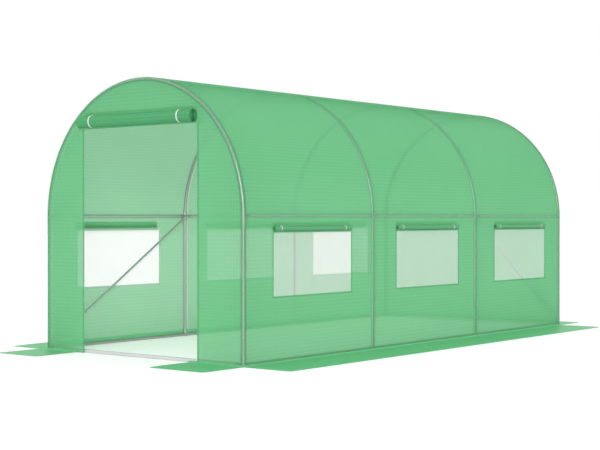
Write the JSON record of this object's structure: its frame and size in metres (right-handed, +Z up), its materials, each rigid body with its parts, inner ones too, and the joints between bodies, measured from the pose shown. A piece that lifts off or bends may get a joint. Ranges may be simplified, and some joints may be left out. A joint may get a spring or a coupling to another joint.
{
  "type": "polytunnel greenhouse",
  "caption": "Walk-in garden polytunnel: round-topped steel hoop frame under a green translucent film cover, with netted side windows and a roll-up door at one end.",
  "frame": {"origin": "on the ground at the middle of the tunnel", "axes": "+Y from the door end to the back, +X to the right as seen from the door end, +Z up"},
  "size_m": [2.77, 5.3, 1.996],
  "materials": {
    "film": "translucent woven-reinforced sheet",
    "rolled_film": "translucent sheet, rolled up",
    "net": "fine white insect net",
    "tie": "woven strap",
    "tube": "satin grey coating",
    "fitting": "satin grey coating"
  },
  "bodies": {
    "root": {"back_base_rail": "tube", "back_hoop_arch": "tube", "back_panel": "film", "back_skirt": "film", "door_roll": "rolled_film", "door_ties": "tie", "front_base_rail": "tube", "front_hoop_arch": "tube", "front_left_skirt": "film", "front_panel_left": "film", "front_panel_right": "film", "front_panel_top": "film", "front_right_skirt": "film", "inner_1_hoop_arch": "tube", "inner_2_hoop_arch": "tube", "left_base_rails": "tube", "left_foot_fittings": "fitting", "left_front_brace": "tube", "left_legs": "tube", "left_shoulder_fittings": "fitting", "left_side_rails": "tube", "left_skirt": "film", "left_wall_film": "film", "left_window_nets": "net", "left_window_rolls": "rolled_film", "left_window_ties": "tie", "ridge_fittings": "fitting", "ridge_tubes": "tube", "right_back_brace": "tube", "right_base_rails": "tube", "right_foot_fittings": "fitting", "right_legs": "tube", "right_shoulder_fittings": "fitting", "right_side_rails": "tube", "right_skirt": "film", "right_wall_film": "film", "right_window_nets": "net", "right_window_rolls": "rolled_film", "right_window_ties": "tie", "roof_film": "film"}
  },
  "joints": []
}
